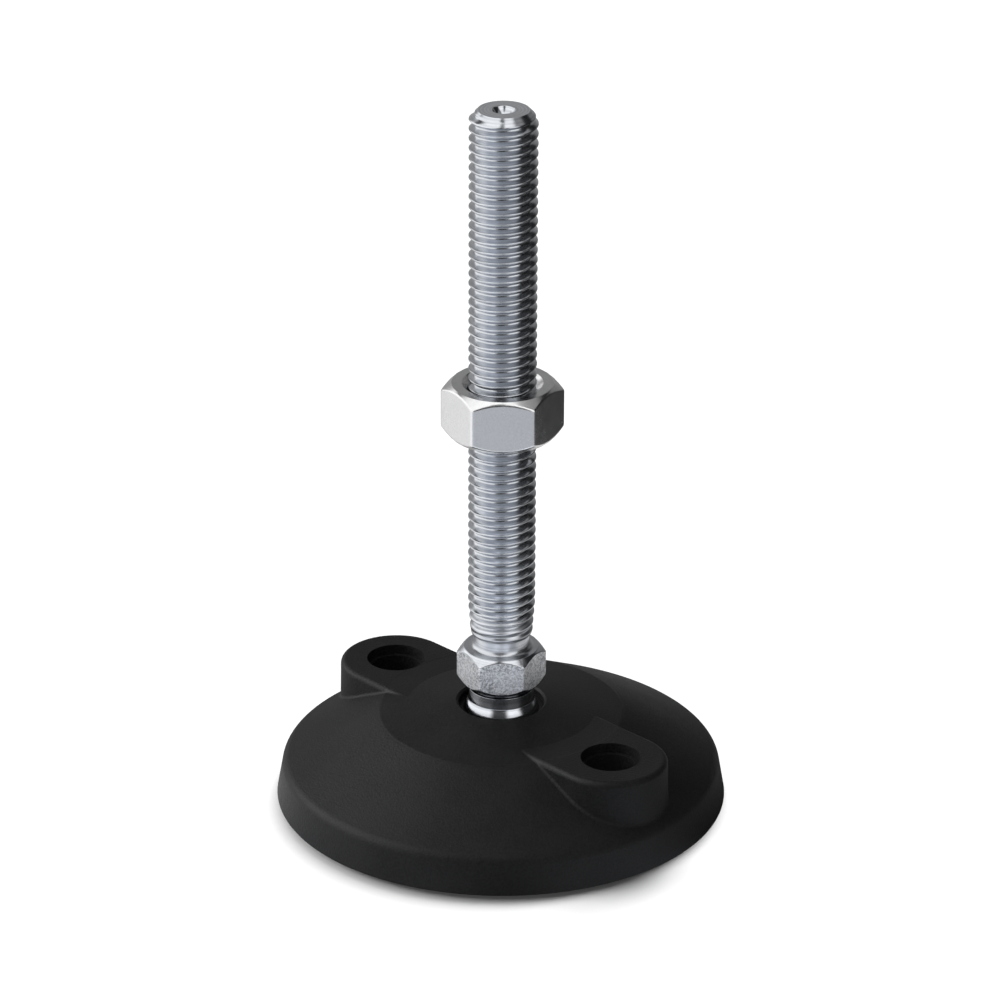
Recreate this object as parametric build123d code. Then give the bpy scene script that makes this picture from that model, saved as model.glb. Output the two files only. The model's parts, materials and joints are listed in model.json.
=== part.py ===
from build123d import *
import os
from math import cos, radians, tan

# Levelling foot: a moulded base with two fixing lugs, a steel stem whose ball end snaps into the base,
# and a lock nut on the stem's thread. Millimetres, +Z up, origin at the middle of the base's underside,
# with the two lugs along X.

# Base, outer form
BASE_DIAMETER = 80.0
RIM_HEIGHT = 6.5
RIM_DRAFT = 10.0  # degrees
RIM_ROUND = 2.2
SHOULDER_DIAMETER = 43.2
SHOULDER_RISE = 9.0  # shoulder above the rim
SHOULDER_ROUND = 1.0
CROWN_RISE = 2.1  # socket mouth above the shoulder

# Base, fixing lugs
LUG_WIDTH = 20.0
LUG_MARGIN = 2.8  # lug's end inside the base's edge
LUG_DROP = 1.4  # lug's top below the socket mouth
LUG_DRAFT = 1.0  # degrees
LUG_EDGE_ROUND = 1.0
LUG_FOOT_ROUND = 0.6
BOLT_HOLE_DIAMETER = 9.0
BOLT_RECESS_STEP = 0.75  # recess wall outside the hole
BOLT_RECESS_DEPTH = 1.8

# Base, cored underside
RIM_WALL = 3.5
CEILING = 3.4  # upright thickness of the sloping walls
BOSS_WALL = 2.5  # round each bolt hole
HUB_WALL = 3.5  # round the ball socket
SOCKET_FLOOR = 3.2  # under the ball
RIB_COUNT = 16
RIB_THICKNESS = 2.0
RIB_RELIEF = 0.8  # ribs and hub stay this far above the floor
HUB_RIB_TURNS = (45.0, 135.0)  # degrees, the two ribs that cross under the socket

# Ball socket
BALL_DIAMETER = 14.0
BALL_CLEARANCE = 0.05
BALL_SINK = 3.2  # ball centre below the mouth
LIP_RISE = 1.8  # retaining lip above the ball centre
MOUTH_GAP = 0.6  # mouth wall outside the socket's own radius
MOUTH_CHAMFER = 0.4

# Stem, from the ball upwards
BALL_SHOULDER = 1.25  # ball outside the lower neck
RELIEF_HEIGHT = 1.0  # groove under the hexagon
RELIEF_DEPTH = 0.6
HEX_GAP = 3.8  # underside of the hexagon above the socket mouth
HEX_FLATS = 13.8
HEX_HEIGHT = 7.0
HEX_FACE_INSET = 0.3  # end faces inside the flats
HEX_CHAMFER = 45.0  # degrees from the end face
UPPER_NECK_UNDERCUT = 1.02  # upper neck below the thread's crests
UPPER_NECK_LENGTH = 2.5
UPPER_NECK_FLARE = 1.0  # cone at the neck's foot
RUNOUT_STEP = 0.4  # thread's end above the neck
RUNOUT_LENGTH = 5.5
THREAD_DIAMETER = 11.84  # over the crests of an M12 thread
STUD_LENGTH = 100.2  # hexagon to tip
TIP_CHAMFER = 1.46
CENTRE_HOLE_DIAMETER = 4.0
CENTRE_HOLE_ANGLE = 60.0  # degrees, full cone

# Lock nut
NUT_FLATS = 18.7
NUT_HEIGHT = 9.6
NUT_LIFT = 40.8  # nut's lower face above the hexagon
NUT_FACE_INSET = 0.5
NUT_CHAMFER = 38.0  # degrees from the end face
NUT_COUNTERSINK = 1.1
THREAD_CLEARANCE = 0.05

# Turn of both hexagons about the stem, so that a flat faces about midway between the lugs
HEX_TURN = -43.8  # degrees
HEX_SIDES = 6
LEDGE_SHARE = 0.9  # most of a ledge that a flare may take

# Sizes that follow
BASE_RADIUS = BASE_DIAMETER / 2
RIM_RADIUS = BASE_RADIUS - RIM_HEIGHT * tan(radians(RIM_DRAFT))
SHOULDER_RADIUS = SHOULDER_DIAMETER / 2
SHOULDER_HEIGHT = RIM_HEIGHT + SHOULDER_RISE
CROWN_HEIGHT = SHOULDER_HEIGHT + CROWN_RISE
LUG_HEIGHT = CROWN_HEIGHT - LUG_DROP
LUG_SPACING = BASE_DIAMETER - 2 * LUG_MARGIN - LUG_WIDTH
BOLT_HOLE_RADIUS = BOLT_HOLE_DIAMETER / 2
BOSS_RADIUS = BOLT_HOLE_RADIUS + BOSS_WALL
BALL_RADIUS = BALL_DIAMETER / 2
SOCKET_RADIUS = BALL_RADIUS + BALL_CLEARANCE
MOUTH_RADIUS = SOCKET_RADIUS + MOUTH_GAP
HUB_RADIUS = SOCKET_RADIUS + HUB_WALL
BALL_HEIGHT = CROWN_HEIGHT - BALL_SINK
HEX_BOTTOM = CROWN_HEIGHT + HEX_GAP
HEX_TOP = HEX_BOTTOM + HEX_HEIGHT
RUNOUT_BOTTOM = HEX_TOP + UPPER_NECK_LENGTH
TIP_HEIGHT = HEX_TOP + STUD_LENGTH
THREAD_RADIUS = THREAD_DIAMETER / 2
NUT_BOTTOM = HEX_TOP + NUT_LIFT
LUG_PLACES = [Pos(side * LUG_SPACING / 2, 0, 0) for side in (-1, 1)]
UPRIGHT = (Align.CENTER, Align.CENTER, Align.MIN)


def corner(face, x, z):
    """The corner of a half section nearest to a radius and a height."""
    return face.vertices().sort_by_distance((x, 0, z))[0]


def half_section(points):
    """A closed half section in the XZ plane, from radius and height pairs."""
    return make_face(Plane.XZ * Polyline(*points, close=True))


def crown_height(radius):
    """Height of the base's sloping top at a radius, without the rounds."""
    inner_fall = (CROWN_HEIGHT - SHOULDER_HEIGHT) / (SHOULDER_RADIUS - MOUTH_RADIUS)
    outer_fall = (SHOULDER_HEIGHT - RIM_HEIGHT) / (RIM_RADIUS - SHOULDER_RADIUS)
    fall = inner_fall if radius < SHOULDER_RADIUS else outer_fall
    return SHOULDER_HEIGHT - fall * (radius - SHOULDER_RADIUS)


def base_disc():
    """The turned form of the base: leaning rim, steep outer cone and shallow crown."""
    section = half_section([
        (0, 0),
        (BASE_RADIUS, 0),
        (RIM_RADIUS, RIM_HEIGHT),
        (SHOULDER_RADIUS, SHOULDER_HEIGHT),
        (MOUTH_RADIUS, CROWN_HEIGHT),
        (0, CROWN_HEIGHT),
    ])
    section = fillet(corner(section, RIM_RADIUS, RIM_HEIGHT), RIM_ROUND)
    section = fillet(corner(section, SHOULDER_RADIUS, SHOULDER_HEIGHT), SHOULDER_ROUND)
    return revolve(section, Axis.Z)


def lug_bar():
    """Both lugs as one round-ended bar across the base, wider at its foot, with a rounded top edge."""
    outline = Pos(0, 0, LUG_HEIGHT) * SlotCenterToCenter(LUG_SPACING, LUG_WIDTH)
    bar = extrude(outline, -LUG_HEIGHT, taper=-LUG_DRAFT)
    return fillet(bar.edges().group_by(Axis.Z)[-1], LUG_EDGE_ROUND)


def underside_core():
    """The ring-shaped hollow under the base, less its radial ribs and the tubes round the bolt holes."""
    lean = tan(radians(RIM_DRAFT))
    wall_foot = BASE_RADIUS - RIM_WALL
    outer_fall = (SHOULDER_HEIGHT - RIM_HEIGHT) / (RIM_RADIUS - SHOULDER_RADIUS)
    wall_top = (crown_height(wall_foot) - CEILING) / (1 - outer_fall * lean)
    core = revolve(half_section([
        (HUB_RADIUS, 0),
        (wall_foot, 0),
        (wall_foot - wall_top * lean, wall_top),
        (SHOULDER_RADIUS, SHOULDER_HEIGHT - CEILING),
        (HUB_RADIUS, crown_height(HUB_RADIUS) - CEILING),
    ]), Axis.Z)
    rib_align = (Align.MIN, Align.CENTER, Align.MIN)
    rib = Pos(0, 0, RIB_RELIEF) * Box(BASE_RADIUS, RIB_THICKNESS, CROWN_HEIGHT, align=rib_align)
    core -= PolarLocations(0, RIB_COUNT) * rib
    core -= [place * Cylinder(BOSS_RADIUS, CROWN_HEIGHT, align=UPRIGHT) for place in LUG_PLACES]
    return core


def hub_core():
    """The hollow under the ball socket, crossed by two ribs, with the hub's own step above the floor."""
    depth = BALL_HEIGHT - SOCKET_RADIUS - SOCKET_FLOOR
    core = Cylinder(SOCKET_RADIUS, depth, align=UPRIGHT)
    for turn in HUB_RIB_TURNS:
        core -= Rot(0, 0, turn) * Box(2 * HUB_RADIUS, RIB_THICKNESS, depth, align=UPRIGHT)
    step = Cylinder(HUB_RADIUS, RIB_RELIEF, align=UPRIGHT)
    return core + step


def ball_socket():
    """The space for the ball: a sphere cut off at the retaining lip, and the wider mouth over it."""
    lip_height = BALL_HEIGHT + LIP_RISE
    ball_space = Pos(0, 0, BALL_HEIGHT) * Sphere(SOCKET_RADIUS)
    ball_space = split(ball_space, Plane.XY.offset(lip_height), keep=Keep.BOTTOM)
    mouth = Pos(0, 0, lip_height) * Cylinder(MOUTH_RADIUS, CROWN_HEIGHT - lip_height, align=UPRIGHT)
    return ball_space + mouth


def bolt_holes():
    """Both bolt holes, each with a shallow recess at the lug's top."""
    hole = Cylinder(BOLT_HOLE_RADIUS, LUG_HEIGHT, align=UPRIGHT)
    recess_radius = BOLT_HOLE_RADIUS + BOLT_RECESS_STEP
    recess_floor = LUG_HEIGHT - BOLT_RECESS_DEPTH
    hole += Pos(0, 0, recess_floor) * Cylinder(recess_radius, BOLT_RECESS_DEPTH, align=UPRIGHT)
    return [place * hole for place in LUG_PLACES]


def outer_body():
    """Disc and lugs in one, with a small round where the lugs' straight walls stand on the outer cone.

    A straight wall cuts the cone along a hyperbola, and the round runs on from there about the lug's end.
    """
    body = base_disc() + lug_bar()
    wall_feet = body.edges().filter_by(GeomType.HYPERBOLA)
    return fillet(wall_feet, LUG_FOOT_ROUND)


def build_base():
    """The base as one moulding. The socket mouth is its highest round edge."""
    base = outer_body() - underside_core()
    base -= hub_core()
    base -= ball_socket()
    base -= bolt_holes()
    mouth_edge = base.edges().filter_by(GeomType.CIRCLE).sort_by(Axis.Z)[-1]
    return chamfer(mouth_edge, MOUTH_CHAMFER)


def chamfered_hexagon(flats, height, face_inset, chamfer_angle):
    """A hexagon bar whose corners are turned down to a cone at both ends, standing on the XY plane."""
    face_radius = flats / 2 - face_inset
    half_side_angle = 180 / HEX_SIDES
    corner_radius = flats / 2 / cos(radians(half_side_angle))
    drop = (corner_radius - face_radius) * tan(radians(chamfer_angle))
    outline = RegularPolygon(flats / 2, HEX_SIDES, major_radius=False, rotation=half_side_angle)
    bar = extrude(outline, height)
    turned = revolve(half_section([
        (0, 0),
        (face_radius, 0),
        (corner_radius, drop),
        (corner_radius, height - drop),
        (face_radius, height),
        (0, height),
    ]), Axis.Z)
    return Rot(0, 0, HEX_TURN) * (bar & turned)


def ball_and_neck():
    """The ball with the neck that carries it under the hexagon, and the turned groove at the neck's top."""
    neck_radius = BALL_RADIUS - BALL_SHOULDER
    neck_length = HEX_BOTTOM - BALL_HEIGHT
    neck = Cylinder(neck_radius, neck_length - RELIEF_HEIGHT, align=UPRIGHT)
    neck += Cylinder(neck_radius - RELIEF_DEPTH, neck_length, align=UPRIGHT)
    return Pos(0, 0, BALL_HEIGHT) * (Sphere(BALL_RADIUS) + neck)


def stud():
    """The smooth upper neck, the cone where the thread runs out, the shank and its chamfered tip."""
    neck_radius = THREAD_RADIUS - UPPER_NECK_UNDERCUT
    collar_radius = HEX_FLATS / 2 - HEX_FACE_INSET
    neck_flare = min(UPPER_NECK_FLARE, LEDGE_SHARE * (collar_radius - neck_radius))
    section = half_section([
        (0, HEX_BOTTOM),
        (collar_radius, HEX_BOTTOM),
        (collar_radius, HEX_TOP),
        (neck_radius, HEX_TOP),
        (neck_radius, RUNOUT_BOTTOM),
        (neck_radius + RUNOUT_STEP, RUNOUT_BOTTOM + RUNOUT_STEP),
        (THREAD_RADIUS, RUNOUT_BOTTOM + RUNOUT_LENGTH),
        (THREAD_RADIUS, TIP_HEIGHT - TIP_CHAMFER),
        (THREAD_RADIUS - TIP_CHAMFER, TIP_HEIGHT),
        (0, TIP_HEIGHT),
    ])
    section = chamfer(corner(section, neck_radius, HEX_TOP), neck_flare)
    hole_radius = CENTRE_HOLE_DIAMETER / 2
    hole_depth = hole_radius / tan(radians(CENTRE_HOLE_ANGLE / 2))
    centre_hole = Cone(0, hole_radius, hole_depth, align=(Align.CENTER, Align.CENTER, Align.MAX))
    return revolve(section, Axis.Z) - Pos(0, 0, TIP_HEIGHT) * centre_hole


def build_stem():
    """The stem, turned from one hexagon bar."""
    hexagon = chamfered_hexagon(HEX_FLATS, HEX_HEIGHT, HEX_FACE_INSET, HEX_CHAMFER)
    return ball_and_neck() + Pos(0, 0, HEX_BOTTOM) * hexagon + stud()


def build_lock_nut():
    """The lock nut, with a countersink at each end of its bore."""
    bore_radius = THREAD_RADIUS + THREAD_CLEARANCE
    mouth_radius = bore_radius + NUT_COUNTERSINK
    nut = chamfered_hexagon(NUT_FLATS, NUT_HEIGHT, NUT_FACE_INSET, NUT_CHAMFER)
    nut -= revolve(half_section([
        (0, 0),
        (mouth_radius, 0),
        (bore_radius, NUT_COUNTERSINK),
        (bore_radius, NUT_HEIGHT - NUT_COUNTERSINK),
        (mouth_radius, NUT_HEIGHT),
        (0, NUT_HEIGHT),
    ]), Axis.Z)
    return Pos(0, 0, NUT_BOTTOM) * nut


NODES = {
    "base": build_base,
    "stem": build_stem,
    "lock_nut": build_lock_nut,
}

os.makedirs("parts", exist_ok=True)
for name, build in NODES.items():
    export_step(build(), f"parts/{name}.step")
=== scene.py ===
"""Looks of a levelling foot: moulded base, zinc-plated stem with a rolled thread, and lock nut.

Sizes in the dataclasses are millimetres and degrees. They become metres where a mesh, a lamp or the
camera is made. Each new piece is a grid of points: a radius and a height for each row and column, carried
round the stem's axis.
"""

import json
import logging
import math
from dataclasses import dataclass
from enum import Enum

import bmesh
import bpy
import numpy as np
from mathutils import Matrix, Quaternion, Vector

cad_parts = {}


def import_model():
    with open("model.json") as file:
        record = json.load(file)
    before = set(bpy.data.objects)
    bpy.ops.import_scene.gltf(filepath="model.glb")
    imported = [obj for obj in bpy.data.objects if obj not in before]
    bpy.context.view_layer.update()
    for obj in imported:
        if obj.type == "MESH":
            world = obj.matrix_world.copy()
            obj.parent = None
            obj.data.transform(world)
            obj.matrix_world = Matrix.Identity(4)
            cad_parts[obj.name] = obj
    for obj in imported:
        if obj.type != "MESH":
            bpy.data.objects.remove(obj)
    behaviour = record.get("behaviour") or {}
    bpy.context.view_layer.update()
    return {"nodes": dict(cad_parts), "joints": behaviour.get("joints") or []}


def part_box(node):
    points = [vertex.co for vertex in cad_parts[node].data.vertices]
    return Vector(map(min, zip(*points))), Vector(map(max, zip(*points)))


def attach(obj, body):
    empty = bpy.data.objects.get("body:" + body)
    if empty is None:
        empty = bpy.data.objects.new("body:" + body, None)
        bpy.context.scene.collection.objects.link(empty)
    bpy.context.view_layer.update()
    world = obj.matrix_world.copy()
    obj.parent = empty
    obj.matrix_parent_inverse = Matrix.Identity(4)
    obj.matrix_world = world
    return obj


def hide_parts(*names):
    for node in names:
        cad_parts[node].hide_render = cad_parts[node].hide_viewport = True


LOG = logging.getLogger("levelling_foot")

Array = np.ndarray
Colour = tuple[float, float, float]
Span = tuple[float, float]
Place = tuple[Array | float, Array | float]
Socket = bpy.types.NodeSocket
Value = Socket | float

MM = 0.001

# The stem's hexagon and the nut stand alike: the angle of one side, and the direction of one flat.
SIDES = 6
SIDE_DEG = 360.0 / SIDES
FLAT_DEG = -43.8

# Meshes: points nearer than this, in metres, become one, and faces at a wider angle are shaded apart.
# The steps are rows along the ball and along the hollow round at the upper neck's foot.
WELD_DISTANCE = 1e-7
SHARP_ANGLE = 38.0
BALL_STEPS = 40
NECK_STEPS = 12

# A noise lies about 0.5. A change is spread over one of these stretches of it. Detail is its finer layers.
SPREAD = (0.35, 0.65)
WIDE_SPREAD = (0.3, 0.7)
RICH_DETAIL = 3.0
PLAIN_DETAIL = 2.0

# The upright part of a face's normal: where flats end, where cones end and where level faces begin.
FLAT_LEAN = (0.1, 0.3)
CONE_LEAN = (0.35, 0.6)
LEVEL_LEAN = (0.95, 0.99)

# Masks, in millimetres: the width of a soft edge, and a height or radius past all of the foot.
MASK_EDGE = 0.1
FAR = 1000.0

# Tint of the floor's cooler stretches.
COOL = (0.92, 0.96, 1.04)


class Reach(Enum):
    """How far a turned edge is rounded, in millimetres along each of its two sides."""

    CRISP = 0.06
    BROKEN = 0.14
    EASED = 0.36


def smooth_min(a: Array, b: Array, width: float) -> Array:
    """The lower of two values, with a parabola where they differ by less than a width.

    Args:
        a: First values.
        b: Second values.
        width: Difference below which the corner is rounded.

    Returns:
        min(a, b) less width times h squared over 4, where h falls from 1 to 0 as the values part.
    """
    h = np.clip(1.0 - np.abs(a - b) / width, 0.0, None)
    return np.minimum(a, b) - width * h * h / 4


def smooth_max(a: Array, b: Array, width: float) -> Array:
    """The higher of two values, rounded as smooth_min rounds the lower one."""
    return -smooth_min(-a, -b, width)


def carried_round(radius: Array, angle: Array, height: Array) -> Array:
    """Points of a turned surface, at these radii, angles and heights."""
    return np.stack([radius * np.cos(angle), radius * np.sin(angle), height], axis=-1)


@dataclass(frozen=True)
class Columns:
    """Angles of the grid's columns about the axis, the same number for round and six-sided rows.

    Attributes:
        corner_deg: Angle of one corner of the hexagon, where the first column stands.
        near_corner_deg: Columns beside each corner. The last one of the list is the middle of a flat.
    """

    corner_deg: float
    near_corner_deg: tuple[float, ...] = (0.6, 1.5, 3.5, 9.0, 18.0, 30.0)

    @property
    def count(self) -> int:
        """Columns in one turn."""
        return SIDES * 2 * len(self.near_corner_deg)

    def round(self) -> Array:
        """Evenly spaced angles in radians, closed by a last column on the first one."""
        return math.radians(self.corner_deg) + np.linspace(0.0, 2 * np.pi, self.count + 1)

    def six_sided(self) -> Array:
        """Angles that crowd at the six corners, closed by a last column on the first one.

        Returns:
            The angles in radians: each side has the columns beside its first corner and their mirror image.
        """
        near = np.asarray(self.near_corner_deg)
        side = np.concatenate([[0.0], near, SIDE_DEG - near[-2::-1]])
        turns = SIDE_DEG * np.arange(SIDES)[:, None] + side[None, :]
        return np.radians(self.corner_deg + np.append(turns.ravel(), 360.0))


class Outline:
    """A turned outline: rows of radius and height, one after the other, each with its columns' angles."""

    def __init__(self, angles: Array) -> None:
        """Starts an empty outline whose rows use these column angles."""
        self.angles = angles
        self.rows: list[tuple[Array, Array, Array]] = []

    def turn_to(self, angles: Array) -> "Outline":
        """The rows that follow use these column angles."""
        self.angles = angles
        return self

    def point(self, radius: Array | float, height: Array | float) -> "Outline":
        """Adds one row.

        Args:
            radius: Its radius, the same all round or one for each column.
            height: Its height, likewise.

        Returns:
            The outline, so that calls follow each other.
        """
        shape = np.zeros_like(self.angles)
        self.rows.append((radius + shape, height + shape, self.angles))
        return self

    def corner(self, before: Place, at: Place, after: Place, reach: Reach, steps: int = 4) -> "Outline":
        """Adds a rounded corner: the parabola that leaves one side and joins the next at the same reach.

        Args:
            before: Radius and height of a point on the side that leads to the corner.
            at: Radius and height of the corner itself.
            after: Radius and height of a point on the side that leaves it.
            reach: Length taken from each side.
            steps: Rows along the round, less one.

        Returns:
            The outline.
        """
        start, end = (self._towards(at, side, reach.value) for side in (before, after))
        for t in np.linspace(0.0, 1.0, steps + 1):
            weights = ((1 - t) ** 2, 2 * t * (1 - t), t * t)
            radius, height = (sum(w * p[i] for w, p in zip(weights, (start, at, end))) for i in (0, 1))
            self.point(radius, height)
        return self

    def arc(self, centre: Place, radius: float, first: float, last: float, steps: int) -> "Outline":
        """Adds a circular stretch of the outline.

        Args:
            centre: Radius and height of the arc's centre.
            radius: The arc's own radius.
            first: Angle in degrees at which it starts, from the outward direction upwards.
            last: Angle at which it ends.
            steps: Rows along it, less one.

        Returns:
            The outline.
        """
        for angle in np.radians(np.linspace(first, last, steps + 1)):
            self.point(centre[0] + radius * math.cos(angle), centre[1] + radius * math.sin(angle))
        return self

    def grid(self) -> Array:
        """All rows as one array of points, rows by columns by three."""
        radius, height, angle = (np.stack(part) for part in zip(*self.rows))
        return carried_round(radius, angle, height)

    @staticmethod
    def _towards(start: Place, end: Place, reach: float) -> Place:
        """The point on the way from one place to another.

        Args:
            start: Radius and height of the first place.
            end: Radius and height of the second one.
            reach: The point's distance from the first.

        Returns:
            Its radius and height.
        """
        dr, dz = np.asarray(end[0]) - start[0], np.asarray(end[1]) - start[1]
        share = reach / np.hypot(dr, dz)
        return start[0] + share * dr, start[1] + share * dz


@dataclass(frozen=True)
class Thread:
    """A right-hand 60 degree thread, as a radius that depends on height and angle.

    Attributes:
        pitch: Travel in one turn.
        crest_radius: Over the crests.
        root_radius: In the grooves.
        crest_width: Width of the flat crest before its edges are rounded.
        flank_deg: Angle of a flank to the level.
        crest_round: How softly the crest meets the flanks, as a difference of radius.
        root_round: The same in the groove.
        crest_height: Height of one crest at the angle crest_angle_deg.
        crest_angle_deg: Where that crest was measured.
        row_phases: Rows on one side of a crest, as shares of the pitch. The same rows lie on the other side.
    """

    pitch: float = 1.75
    crest_radius: float = 5.92
    root_radius: float = 4.91
    crest_width: float = 0.2
    flank_deg: float = 30.0
    crest_round: float = 0.05
    root_round: float = 0.42
    crest_height: float = 125.26
    crest_angle_deg: float = 225.39
    row_phases: tuple[float, ...] = (0.02, 0.045, 0.065, 0.085, 0.11, 0.2, 0.29, 0.35, 0.4, 0.45)

    def radius(self, phase: Array) -> Array:
        """Radius at a phase: level crest, straight flanks, rounded root.

        Args:
            phase: Height above a crest's middle in pitches; whole numbers are crests.

        Returns:
            The radius in millimetres.
        """
        from_crest = np.abs(phase - np.round(phase)) * self.pitch
        fall = (self.crest_width / 2 - from_crest) / math.tan(math.radians(self.flank_deg))
        flank = self.crest_radius + fall
        tooth = smooth_min(flank, np.full_like(flank, self.crest_radius), self.crest_round)
        return smooth_max(tooth, np.full_like(tooth, self.root_radius), self.root_round)

    def lattice(self, columns: Columns, bottom: float, top: float) -> tuple[Array, Array, Array]:
        """Rows that run along the helix, cut off level at two heights.

        A row climbs by one pitch in a turn, so its last column lies on the first column of the row one pitch
        above. Heights past an end are laid on that end.

        Args:
            columns: The grid's columns.
            bottom: Lowest height.
            top: Highest height.

        Returns:
            Angle, height and phase of every point, each as rows by columns.
        """
        angle = columns.round()
        turn = np.linspace(0.0, 1.0, columns.count + 1)
        first_turn = angle[0] / (2 * np.pi) - self.crest_angle_deg / 360.0
        first_crest = self.crest_height + self.pitch * first_turn
        # One spare turn at each end, and at the bottom the turn in which a row climbs.
        lowest = math.floor((bottom - first_crest) / self.pitch) - 2
        highest = math.ceil((top - first_crest) / self.pitch) + 1
        side = np.asarray(self.row_phases)
        rows = np.concatenate([-side[::-1], side, [0.5]])
        starts = (np.arange(lowest, highest)[:, None] + rows[None, :]).ravel()
        height = first_crest + self.pitch * (starts[:, None] + turn[None, :])
        height = np.clip(height, bottom, top)
        phase = (height - first_crest) / self.pitch - turn[None, :]
        return np.broadcast_to(angle, height.shape), height, phase


@dataclass(frozen=True)
class Hexagon:
    """A six-sided bar whose corners are turned down to a cone at both ends.

    Attributes:
        flats: Width across flats.
        bottom: Height of its lower face.
        top: Height of its upper face.
        face_inset: How far the round end faces lie inside the flats.
        chamfer_deg: Angle between cone and end face.
        edge: How far the edges between flats and cones are rounded.
        edge_power: Sharpness of the upright edges; the outline is a power mean of the six flats.
    """

    flats: float
    bottom: float
    top: float
    face_inset: float
    chamfer_deg: float
    edge: Reach = Reach.BROKEN
    edge_power: float = 80.0

    @property
    def face_radius(self) -> float:
        """Radius of the round end faces."""
        return self.flats / 2 - self.face_inset

    def radius(self, columns: Columns) -> Array:
        """Outer radius in each six-sided column.

        A flat at angle a stands at half the width over cos(a). The power mean of the cosines picks the
        nearest flat and rounds the edge to the next one.

        Args:
            columns: The grid's columns.

        Returns:
            One radius for each column.
        """
        normals = np.radians(columns.corner_deg + SIDE_DEG * (np.arange(SIDES) + 0.5))
        facing = np.clip(np.cos(columns.six_sided()[None, :] - normals[:, None]), 0.0, None)
        return self.flats / 2 / np.sum(facing ** self.edge_power, axis=0) ** (1 / self.edge_power)

    def add_to(self, outline: Outline, columns: Columns, foot_radius: float, head_radius: float) -> None:
        """Adds the bar's outer faces to an outline, from inside its lower face to inside its upper one.

        Args:
            outline: Where the rows go.
            columns: The grid's columns.
            foot_radius: Where the lower face begins.
            head_radius: Where the upper face ends.
        """
        wall = self.radius(columns)
        drop = (wall - self.face_radius) * math.tan(math.radians(self.chamfer_deg))
        low, high = self.bottom + drop, self.top - drop
        middle = (self.bottom + self.top) / 2
        face = self.face_radius
        outline.point(foot_radius, self.bottom).turn_to(columns.six_sided())
        outline.corner((foot_radius, self.bottom), (face, self.bottom), (wall, low), Reach.CRISP)
        outline.corner((face, self.bottom), (wall, low), (wall, middle), self.edge)
        outline.point(wall, middle)
        outline.corner((wall, middle), (wall, high), (face, self.top), self.edge)
        outline.corner((wall, high), (face, self.top), (head_radius, self.top), Reach.CRISP)
        outline.turn_to(columns.round()).point(head_radius, self.top)


class Shell:
    """Grids of points that become one closed mesh."""

    def __init__(self, name: str, *grids: Array) -> None:
        """Takes the object's name and its grids of points, rows by columns by three, in millimetres."""
        self.name = name
        self.grids = grids

    def build(self, material: bpy.types.Material) -> bpy.types.Object:
        """Makes the object: all grids as four-sided faces, welded where their edges meet.

        Args:
            material: Its surface.

        Returns:
            The new object, at the origin and smoothly shaded.
        """
        points, quads, start = [], [], 0
        for grid in self.grids:
            rows, columns = grid.shape[:2]
            index = start + np.arange(rows * columns).reshape(rows, columns)
            corners = (index[:-1, :-1], index[:-1, 1:], index[1:, 1:], index[1:, :-1])
            quads.append(np.stack(corners, axis=-1).reshape(-1, 4))
            points.append(grid.reshape(-1, 3))
            start += rows * columns
        mesh = bpy.data.meshes.new(self.name)
        mesh.from_pydata((np.concatenate(points) * MM).tolist(), [], np.concatenate(quads).tolist())
        self._weld(mesh)
        mesh.shade_smooth()
        mesh.set_sharp_from_angle(angle=math.radians(SHARP_ANGLE))
        mesh.materials.append(material)
        piece = bpy.data.objects.new(self.name, mesh)
        bpy.context.scene.collection.objects.link(piece)
        shading = piece.modifiers.new("even_shading", "WEIGHTED_NORMAL")
        shading.keep_sharp = True
        LOG.info("%s: %d faces", self.name, len(mesh.polygons))
        return piece

    @staticmethod
    def _weld(mesh: bpy.types.Mesh) -> None:
        """Joins points that lie on each other, drops faces without area and turns all faces outwards.

        Args:
            mesh: The mesh, which is changed.
        """
        work = bmesh.new()
        work.from_mesh(mesh)
        bmesh.ops.remove_doubles(work, verts=work.verts, dist=WELD_DISTANCE)
        bmesh.ops.dissolve_degenerate(work, edges=work.edges, dist=WELD_DISTANCE)
        bmesh.ops.recalc_face_normals(work, faces=work.faces)
        work.to_mesh(mesh)
        work.free()


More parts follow.
